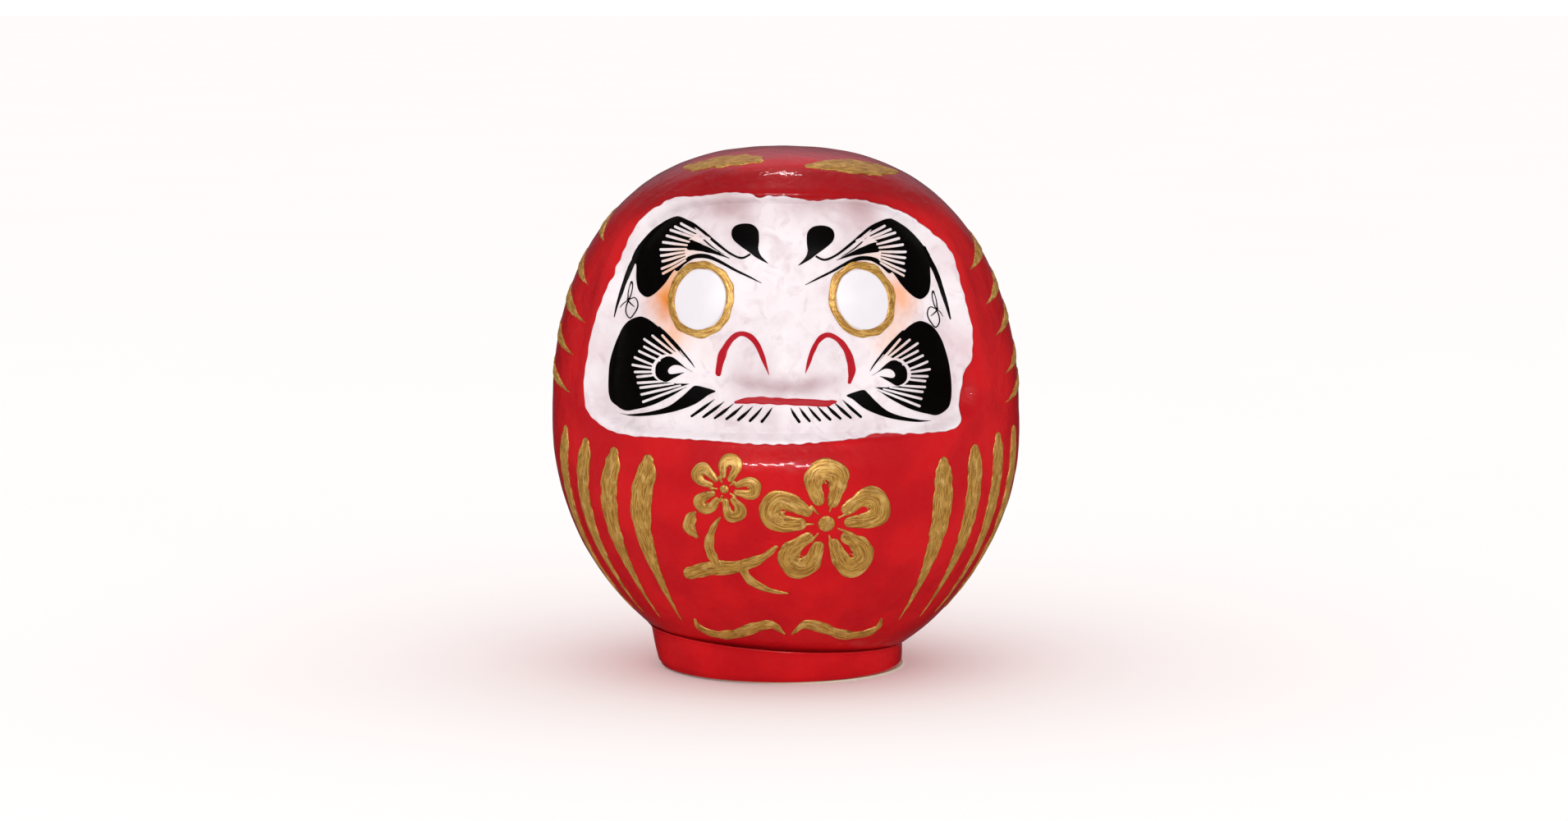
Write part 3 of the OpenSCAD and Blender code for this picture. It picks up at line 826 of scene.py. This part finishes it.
# The crane brow: its mass, its lines, and the gaps between its hairs
BROW_MASS = [(53.9, 147), (56.9, 148.9), (58.1, 152.7), (58.2, 157.7), (58.8, 160.4), (56.2, 165.5),
             (52.5, 170.1), (48.3, 173.7), (43.2, 176.3), (38.2, 175.3), (34.8, 172.6), (33.9, 170.6),
             (36.6, 168.4), (37.4, 166.8), (37.6, 164.6), (37.6, 162.6), (38.6, 160.2), (42.9, 157.1),
             (46.2, 152.7), (50.6, 148.4)]
BROW_LINES = [
    [[43.6, 175.8, 0.5], [37.3, 174.5, 0.6], [31.9, 171.8, 0.55], [25.4, 167.6, 0.5], [20, 164.1, 0.45],
     [16.2, 162.8, 0.45], [13.1, 164, 0.4]],
    [[41.5, 158.3, 1.2], [38, 160.8, 0.9], [34.1, 162.7, 0.8], [29.5, 163.1, 0.8], [25.3, 161.8, 0.7],
     [18.9, 158.4, 0.5], [13.7, 156.1, 0.4], [8.7, 153.9, 0.15]],
    [[37.4, 166.6, 1.4], [35.7, 166.7, 1.75], [31.5, 166, 1.35], [26, 164.6, 0.7], [20.7, 162.6, 0.12]],
    [[32.4, 170, 0.1], [29.9, 168.3, 0.3], [26.5, 166.1, 0.25], [22.5, 163.9, 0.1]]]
RIGHT_TAIL = 1.5                              # the tail on the right is this much thicker
BROW_TAIL = [[55.8, 165.2, 0.52], [59.2, 158.3, 0.52], [61.3, 152.6, 0.43], [62.8, 147.4, 0.34],
             [64, 142.9, 0.23], [64.9, 139, 0.12]]
BROW_GAPS = hairs(
    [(40.8, 173.9), (43, 172.6), (44.6, 171.3), (45.9, 169.3), (47.2, 167), (48.2, 164.4), (48, 162.3),
     (47.5, 160.3), (47.8, 157.6), (47.3, 155.9)],
    [(28.3, 169.1), (30.7, 169), (33.1, 169), (36.1, 167.7), (36.8, 166.5), (37.1, 165.2), (37.5, 164.2),
     (37.3, 163.3), (37.1, 162.4), (37.6, 161.3)], 0.42)
BROW_DROP = [(20.4, 171.5), (19.4, 173.6), (16.5, 174.7), (12.5, 174.5), (10, 172.4), (9.6, 168.8),
             (9.8, 165.9), (8.7, 163.5), (6, 160.8), (10.5, 162.8), (13.1, 164.6), (16.7, 166.9),
             (19.5, 169.1)]

# The tortoise beard, with the crescent in it and the fin below
BEARD_MASS = [(56.8, 139.7), (53.6, 139.5), (50.1, 137.8), (46, 134.8), (42.4, 131.7), (39.6, 128.6),
              (41.2, 128), (42.9, 127.1), (46, 126.6), (48.2, 124.9), (49.8, 122.6), (50, 120.1),
              (48.8, 118.2), (46.3, 116.8), (41.7, 116.5), (36.1, 116.5), (38.8, 114.3), (43.8, 111.2),
              (50.6, 107.9), (57.7, 105.7), (62.6, 104.8), (67, 106.7), (68.5, 109.6), (68.7, 114.5),
              (67.8, 121.8), (66.4, 127.4), (64.4, 132.9), (61.2, 137.4)]
CRESCENT = [(34.7, 120.8), (37.5, 122.6), (39.9, 124.6), (42.3, 126.1), (44.5, 126.2), (46.6, 125),
            (48.2, 123), (48.6, 120.7), (48.2, 118.8), (46.6, 117.4), (44.4, 116.9), (41.6, 118.4),
            (39.2, 119.8), (37.8, 120.7), (40.4, 120.3), (42.8, 119.9), (43.7, 120.8), (43.1, 122.2),
            (41.6, 123.1), (39.6, 123.1), (37.2, 122)]
BEARD_LINES = [
    [[48.2, 136.5, 0.45], [45.4, 134.5, 0.45], [41.4, 131, 0.45], [37.6, 126.9, 0.4], [35.4, 124.3, 0.3],
     [34.2, 122.5, 0.1]],
    [[42.6, 130.6, 0.3], [39.4, 127.5, 0.3], [36.8, 124.6, 0.1]],
    [[46.3, 116.5, 0.3], [43.5, 116.4, 0.3], [41.1, 116.6, 0.1]],
    [[46.1, 115, 0.35], [42.3, 115.5, 0.35], [39.6, 116, 0.1]]]
BEARD_GAPS = hairs(
    [(46.7, 133.7), (50.6, 133.3), (53.8, 131.8), (53.6, 129.1), (55.6, 127.3), (57.4, 124.9),
     (58.3, 122.1), (57.3, 119.6), (56.3, 117.9), (56.2, 115.7), (55.2, 114), (54.9, 111.5), (54.4, 108.8)],
    [(36.8, 124.7), (37.5, 124.9), (42.9, 126.5), (45.4, 126), (46.9, 124.5), (48.8, 122.6),
     (49.5, 121.6), (48.8, 120.4), (48.6, 119.2), (46, 117), (41.7, 116.5), (39.3, 115.9), (36.1, 116.2)],
    0.42)
FIN = [(34, 116), (30.4, 115.4), (26.5, 114.1), (29.2, 112.6), (34.1, 109.2), (41.1, 106.4), (49, 104.4),
       (57.9, 103.1), (64.4, 103.2), (59.2, 103.9), (50.8, 105.7), (44.1, 108.1), (38.9, 111.9),
       (35.8, 114.8)]

# The red strokes: the arcs of the nostrils on each side, and the mouth
NOSTRILS = {
    -1: [[-25.2, 120.9, 1.2], [-24, 126.3, 1.65], [-22.2, 130.5, 1.4], [-19.6, 133.9, 1.1],
         [-16.4, 135.4, 1], [-12.6, 134.3, 1.15], [-9.7, 131.4, 1.1], [-7.5, 127, 0.9],
         [-5.4, 121.5, 0.15]],
    1: [[24.2, 117.6, 0.8], [24.9, 121.8, 1.6], [24.1, 126.6, 1.6], [22.3, 130.6, 1.3],
        [19.4, 133.6, 1.05], [15.9, 134.9, 1], [12.4, 133.2, 1], [9.6, 129.2, 0.9],
        [8, 125.4, 0.75], [6.8, 122, 0.15]]}
MOUTH = [[-18.9, 110.2, 0.5], [-15.5, 110.8, 1.1], [-10, 111.2, 1.35], [-0.7, 110.9, 1.4],
         [9, 110.4, 1.3], [15.2, 109.9, 1.25], [17.3, 110.3, 0.9], [19, 110.5, 0.4]]
# The thin bow under the end of each brow
BOW = [
    [[61.2, 145.1, 0.37], [61.2, 147.8, 0.23], [60.7, 150.2, 0.19], [60, 152, 0.35], [59.5, 150.6, 0.24],
     [59.8, 148.2, 0.23], [60.5, 146.1, 0.26], [61.7, 143.3, 0.29], [61.8, 140.6, 0.28],
     [60.2, 138.9, 0.27], [58.5, 140.6, 0.26], [57.2, 143.1, 0.27], [57.4, 145.3, 0.27],
     [58.7, 146.4, 0.24], [60.5, 145.6, 0.21]],
    [[63.5, 142.5, 0.12], [62.5, 144.2, 0.2], [60.8, 145.6, 0.24]],
    [[61.8, 145.8, 0.13], [60.5, 144.4, 0.33], [58.5, 143.1, 0.16]]]

# Seven chin hairs on each side: where the first starts and ends across, each with its step
WHISKERS = {-1: (5, 3.65, 9, 4.45), 1: (1.8, 3.27, 5, 3.9)}


def face(shine):
    """The white coat and everything painted on it."""
    white, black, red = gofun(), ink(), lip_paint()
    coat = paint("face_white", front_chart, [window_outline()], edge=0.6, grain=0.75)
    finish_piece(coat, white, "gofun_white", "face_coat")
    for side, name in ((-1, "left"), (1, "right")):
        tilt = side * EYE_TILT
        inner = (EYE_X[side], EYE_Z, EYE_W - RING_W, EYE_H - RING_W, tilt)
        eye = paint(f"eye_white_paint_{name}", front_chart, [oval(*inner)], under=1, thick=0.3)
        finish_piece(eye, eye_paint(), "eye_white", f"eye_white_{name}")
        ring = paint(f"eye_ring_paint_{name}", front_chart,
                     [oval(EYE_X[side], EYE_Z, EYE_W, EYE_H, tilt, 0.4, 40 + side)],
                     [oval(*inner, 0.3, 44 + side)], under=1, edge=0.8, grain=0.5, ridges=0.12)
        turn_round(ring, EYE_X[side])
        finish_piece(ring, shine, "gold_paint", f"eye_ring_{name}")
        tail = [[x, z, w * (1 if side < 0 else RIGHT_TAIL)] for x, z, w in BROW_TAIL]
        brow = inked(f"brow_ink_{name}", side, BROW_GAPS, BROW_HAND,
                     ([BROW_MASS, BROW_DROP], BROW_LINES + [tail], BROW_HAND), ([], BOW, BOW_HAND))
        finish_piece(brow, black, "ink_black", f"brow_{name}")
        beard = inked(f"beard_ink_{name}", side, BEARD_GAPS, BEARD_HAND,
                      ([BEARD_MASS, CRESCENT], BEARD_LINES, BEARD_HAND), ([FIN], [], FIN_HAND))
        finish_piece(beard, black, "ink_black", f"beard_{name}")
        arc = paint(f"nostril_red_{name}", front_chart, [stroke(NOSTRILS[side], 0.08, 60 + side)],
                    under=1, thick=0.3, edge=0.5, grain=0.4)
        finish_piece(arc, red, "lip_red", f"nostril_{name}")
    mouth = paint("mouth_red", front_chart, [stroke(MOUTH, 0.12, 63)], under=1, thick=0.3,
                  edge=0.5, grain=0.4)
    finish_piece(mouth, red, "lip_red", "mouth_line")
    whiskers = []
    for side, (top_x, top_step, low_x, low_step) in WHISKERS.items():
        for i in range(7):
            top = [top_x + top_step * i, 108.6 + 0.07 * i * i, 0.12]
            low = [low_x + low_step * i, 103.5 + 0.2 * i, 0.55]
            middle = [(top[0] + low[0]) / 2 - 0.2, (top[1] + low[1]) / 2, 0.58]
            whiskers.append(stroke(placed([top, middle, low], side), 0.15, 70 + i))
    chin = paint("chin_hairs", front_chart, whiskers, under=1, thick=0.25, edge=0.35, grain=0.35)
    finish_piece(chin, black, "ink_black", "chin_whiskers")


def inked(name, side, gaps, gap_hand, *groups):
    """Black brushwork on one side of the face; each group is (masses, lines, how it is placed)."""
    shapes = []
    for masses, lines, hand in groups:
        shapes += [blob(placed(k, side, *hand)) for k in masses]
        shapes += [stroke(placed(k, side, *hand), 0.06, 50) for k in lines]
    holes = [stroke(placed(k, side, *gap_hand)) for k in gaps]
    return paint(name, front_chart, shapes, holes, under=1, thick=0.25, edge=0.35, grain=0.55)


def turn_round(ring, x):
    """Brush coordinates that run round an eye."""
    points = np.array([v.co for v in ring.data.vertices]) * MM
    a = np.arctan2(points[:, 2] - EYE_Z, points[:, 0] - x)
    r = np.hypot(points[:, 2] - EYE_Z, points[:, 0] - x)
    lines = np.stack([a * EYE_W, r, np.full(len(a), x)], axis=1)
    ring.data.attributes["brush"].data.foreach_set("vector", lines.ravel())


# ---- gold on the body ----

# Where the hood's five wedges start on each side: degrees round from the front, and height
HOOD_TIPS = {-1: [(69, 165.6), (65.6, 149.7), (61.5, 136.1), (65.3, 123.3), (65, 109.1)],
             1: [(62.5, 155.6), (65, 142.4), (66.5, 130.6), (68.7, 115.7), (67.7, 105)]}
# The four stripes on each side of the robe: degrees round to the first one, the heights of their
# tops, and how far they lean back on the way down
ROBE_FIRST = {-1: 34, 1: 40}
ROBE_TOPS = {-1: (87.5, 89, 91, 94), 1: (86, 89, 92, 93)}
ROBE_TILT = {-1: 1.0, 1: 0.35}
CROWN_DABS = [[[-36, -24, 2], [-29, -33, 6], [-21, -40, 7.5], [-13, -47, 5.5], [-8.5, -52, 2]],
              [[9, -57, 1.2], [15, -53, 3.5], [24, -45, 6], [32, -34, 6.5], [38, -24, 4], [43, -15, 1]]]


def robe_stripe(side, i, top):
    """One stripe on the robe: it leans back and tapers on the way down."""
    t = math.radians(ROBE_FIRST[side] + 11.2 * i) * HALF_W
    leans = (0, 1, 4.5, 7.5, 8.5, 8.5, 8.5, 9.5)
    ups = (top, top - 4, top - 12, 65, 53, 43, 33, 24)
    widths = (2.7, 4.3, 4.9, 4.9, 3.9, 2.6, 1.3, 0.2)
    knots = [[t + ROBE_TILT[side] * lean, up, w * (1 - 0.03 * i)]
             for lean, up, w in zip(leans, ups, widths)]
    return stroke(placed(knots, side), 0.1, 80 + 4 * i + side)


def body_gold(shine):
    """Stripes on the robe, wedges on the sides of the hood and dabs on the crown."""
    for side, name in ((-1, "left"), (1, "right")):
        stripes = [robe_stripe(side, i, top) for i, top in enumerate(ROBE_TOPS[side])]
        made = paint(f"robe_gold_{name}", wrap_chart, stripes, edge=0.9, grain=0.75, ridges=0.18)
        finish_piece(made, shine, "gold_paint", f"body_stripes_{name}")
        wedges = []
        for i, (turned, z) in enumerate(HOOD_TIPS[side]):
            t = math.radians(turned) * HALF_W
            knots = [[t, z, 0.15], [t + 8, z + 1.6, 0.9], [t + 18, z + 4, 2], [t + 34, z + 7, 2.7],
                     [t + 52, z + 9, 2.8], [t + 66, z + 10, 1.6]]
            wedges.append(stroke(placed(knots, side), 0.12, 100 + i + side))
        made = paint(f"hood_gold_{name}", wrap_chart, wedges, edge=0.9, grain=0.75, ridges=0.18)
        finish_piece(made, shine, "gold_paint", f"hood_strokes_{name}")
    dabs = [stroke(knots, 0.15, 121 + i) for i, knots in enumerate(CROWN_DABS)]
    crown = paint("crown_gold", crown_chart, dabs, edge=0.9, grain=0.75, ridges=0.18)
    finish_piece(crown, shine, "gold_paint", "crown_strokes")


def petal_strokes(x, z, r, turned, seed):
    """Five round petals, each one curled dab of a loaded brush."""
    made = []
    for i in range(5):
        a = turned + 2 * math.pi * i / 5
        out = np.array([math.cos(a), math.sin(a)])
        side = np.array([-out[1], out[0]])
        middle = np.array([x, z]) + out * r * 0.64
        knots = [[*(middle - out * 0.3 * r - side * 0.1 * r), 0.09 * r],
                 [*(middle - side * 0.17 * r), 0.15 * r],
                 [*(middle + out * 0.16 * r - side * 0.12 * r), 0.19 * r],
                 [*(middle + out * 0.18 * r + side * 0.1 * r), 0.19 * r],
                 [*(middle + side * 0.19 * r), 0.15 * r],
                 [*(middle - out * 0.26 * r + side * 0.12 * r), 0.1 * r]]
        made.append(stroke(knots, 0.12, seed + i))
    return made


def stamens(x, z, r, count):
    """A flower's middle, with short strokes round it."""
    made = [oval(x, z, 0.13 * r, 0.13 * r)]
    for i in range(count):
        a = 2 * math.pi * (i + 0.5) / count
        near, far = 0.2 * r, 0.36 * r
        made.append(stroke([[x + near * math.cos(a), z + near * math.sin(a), 0.4],
                            [x + far * math.cos(a), z + far * math.sin(a), 0.7]]))
    return made


def chest(shine):
    """Spray of plum blossom: a large flower, a smaller one, a bud and their twig."""
    shapes = petal_strokes(14, 66, 24, math.radians(90), 130)
    shapes += petal_strokes(-22, 79, 13, math.radians(75), 140)
    shapes += stamens(14, 66, 24, 7) + stamens(-22, 79, 13, 5)
    twig = [[[-36, 45, 2.6], [-28, 47.5, 3.1], [-19, 48.5, 2.6], [-10, 52, 1.8], [-4, 57, 0.7]],
            [[-26, 49, 1.8], [-28.5, 56, 1.9], [-27, 63, 1.4], [-24, 68, 0.5]],
            [[-17, 49.5, 1.4], [-14, 43.5, 1.8], [-7, 39.5, 1.2], [0, 38, 0.3]],
            [[-33, 60, 0.8], [-35.5, 63.5, 2.4], [-34.5, 67.5, 2], [-33, 69.5, 0.5]]]
    shapes += [stroke(k, 0.15, 150 + i) for i, k in enumerate(twig)]
    made = paint("chest_gold", front_chart, shapes, edge=1.0, grain=0.6, thick=0.6, ridges=0.3)
    finish_piece(made, shine, "gold_paint", "chest_flower")


def scrolls(shine):
    """A pair of flat scrolls just above the foot."""
    knots = [[1.5, 20.5, 0.5], [6, 24.5, 1.8], [12, 23.5, 2.4], [20, 19.8, 2.2], [28, 19, 1.6],
             [33.5, 21.5, 1.2], [35, 25, 0.5]]
    shapes = [stroke(placed(knots, side), 0.15, 160 + side) for side in (-1, 1)]
    made = paint("foot_gold", front_chart, shapes, edge=0.8, grain=0.55, ridges=0.15)
    finish_piece(made, shine, "gold_paint", "foot_scroll")


# ---- studio ----

def camera():
    """The photographed view: slightly from above, through a long lens."""
    data = bpy.data.cameras.new("camera")
    data.lens = 89.66
    data.sensor_width = 36
    made = bpy.data.objects.new("camera", data)
    bpy.context.scene.collection.objects.link(made)
    rise, distance = math.radians(6.5), 1.5
    aim = Vector((-0.0008, 0, 0.0982))
    back = Vector((0, -math.cos(rise), math.sin(rise)))
    made.location = aim + back * distance
    made.rotation_euler = (-back).to_track_quat("-Z", "Y").to_euler()
    bpy.context.scene.camera = made


def softbox(name, place, aim, size, power, glossy=True, diffuse=True):
    """A rectangular lamp, seen in gloss, on matt surfaces or in both."""
    data = bpy.data.lights.new(name, "AREA")
    data.shape = "RECTANGLE"
    data.size, data.size_y = size
    data.energy = power
    made = bpy.data.objects.new(name, data)
    bpy.context.scene.collection.objects.link(made)
    made.location = place
    made.rotation_euler = (Vector(aim) - Vector(place)).to_track_quat("-Z", "Y").to_euler()
    made.visible_glossy = glossy
    made.visible_diffuse = diffuse
    made.visible_camera = False


def studio():
    """Pale floor and soft light, with two narrow lamps that show only as glints."""
    bpy.context.scene.view_settings.view_transform = "Standard"
    corners = np.array([[-1, -1, 0], [1, -1, 0], [1, 1, 0], [-1, 1, 0]])
    floor = make_mesh("floor", corners * 20000, [[0, 1, 2, 3]])
    s = Shader("floor_white", Roughness=1.0, Specular_IOR_Level=0.0)
    s.set(Base_Color=s.blend(s.noise(3, 2), linear(250, 249, 249), linear(253, 252, 252)))
    floor.data.materials.append(s.material)
    floor.visible_glossy = False
    centre = (0, 0, 0.1)
    softbox("glint_front", (-0.1, -2.15, 0.62), centre, (1.5, 0.06), 45, diffuse=False)
    softbox("glint_back", (0, 0.55, 1.4), centre, (0.45, 0.05), 2, diffuse=False)
    softbox("overhead", (0, -0.35, 1.6), centre, (0.7, 0.4), 0.5, glossy=False)
    softbox("front_left", (-1.1, -1.7, 0.6), centre, (1.2, 1.2), 2.5, glossy=False)
    softbox("front_right", (1.1, -1.7, 0.6), centre, (1.2, 1.2), 2.5, glossy=False)
    sky()


def sky():
    """Soft light on everything; gloss sees a faint pink glow behind and above, and dark elsewhere."""
    world = bpy.data.worlds.new("studio")
    bpy.context.scene.world = world
    world.use_nodes = True
    n = Nodes(world.node_tree)
    n.tree.nodes.clear()
    way = n.add("ShaderNodeTexCoord").outputs["Generated"]
    x, y, z = n.add("ShaderNodeSeparateXYZ", {0: way}).outputs
    glossy = n.add("ShaderNodeLightPath").outputs["Is Glossy Ray"]
    soft = n.spread(z, 0.0, 1.0, 1.4, 0.88)
    above = n.times(n.spread(z, -0.1, 0.5, 0.08, 0.45), n.spread(z, 0.68, 0.84, 1.0, 0.03))
    middle = n.times(n.spread(x, -0.4, -0.12, 0.05, 1.0), n.spread(x, 0.12, 0.4, 1.0, 0.05))
    behind = n.times(middle, n.spread(y, -0.1, 0.3, 0.03, 1.0))
    mixed = {"Factor": glossy, "A": soft, "B": n.times(above, behind)}
    strength = n.add("ShaderNodeMix", mixed).outputs[0]
    tint = n.blend(glossy, linear(255, 252, 251), linear(255, 212, 226))
    glow = n.add("ShaderNodeBackground", {"Color": tint, "Strength": strength}).outputs[0]
    n.add("ShaderNodeOutputWorld", {"Surface": glow})


# ---- everything together ----

camera()
studio()

body_red = lacquer("red_lacquer", linear(198, 20, 26), linear(182, 15, 24))
foot_red = lacquer("foot_lacquer", linear(204, 20, 27), linear(188, 15, 24))
finish_piece(body(), body_red, "red_lacquer", "front_shell", "rear_shell")
finish_piece(foot(), foot_red, "foot_lacquer", "clay_foot")
finish_piece(glue(), dried_glue(), "glue", "foot_glue")
shine = gold()
face(shine)
body_gold(shine)
chest(shine)
scrolls(shine)
paper = bare_paper()
for node in ("seam_strip", "bottom_paper"):
    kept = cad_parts[node].data
    kept.materials.clear()
    kept.materials.append(paper)
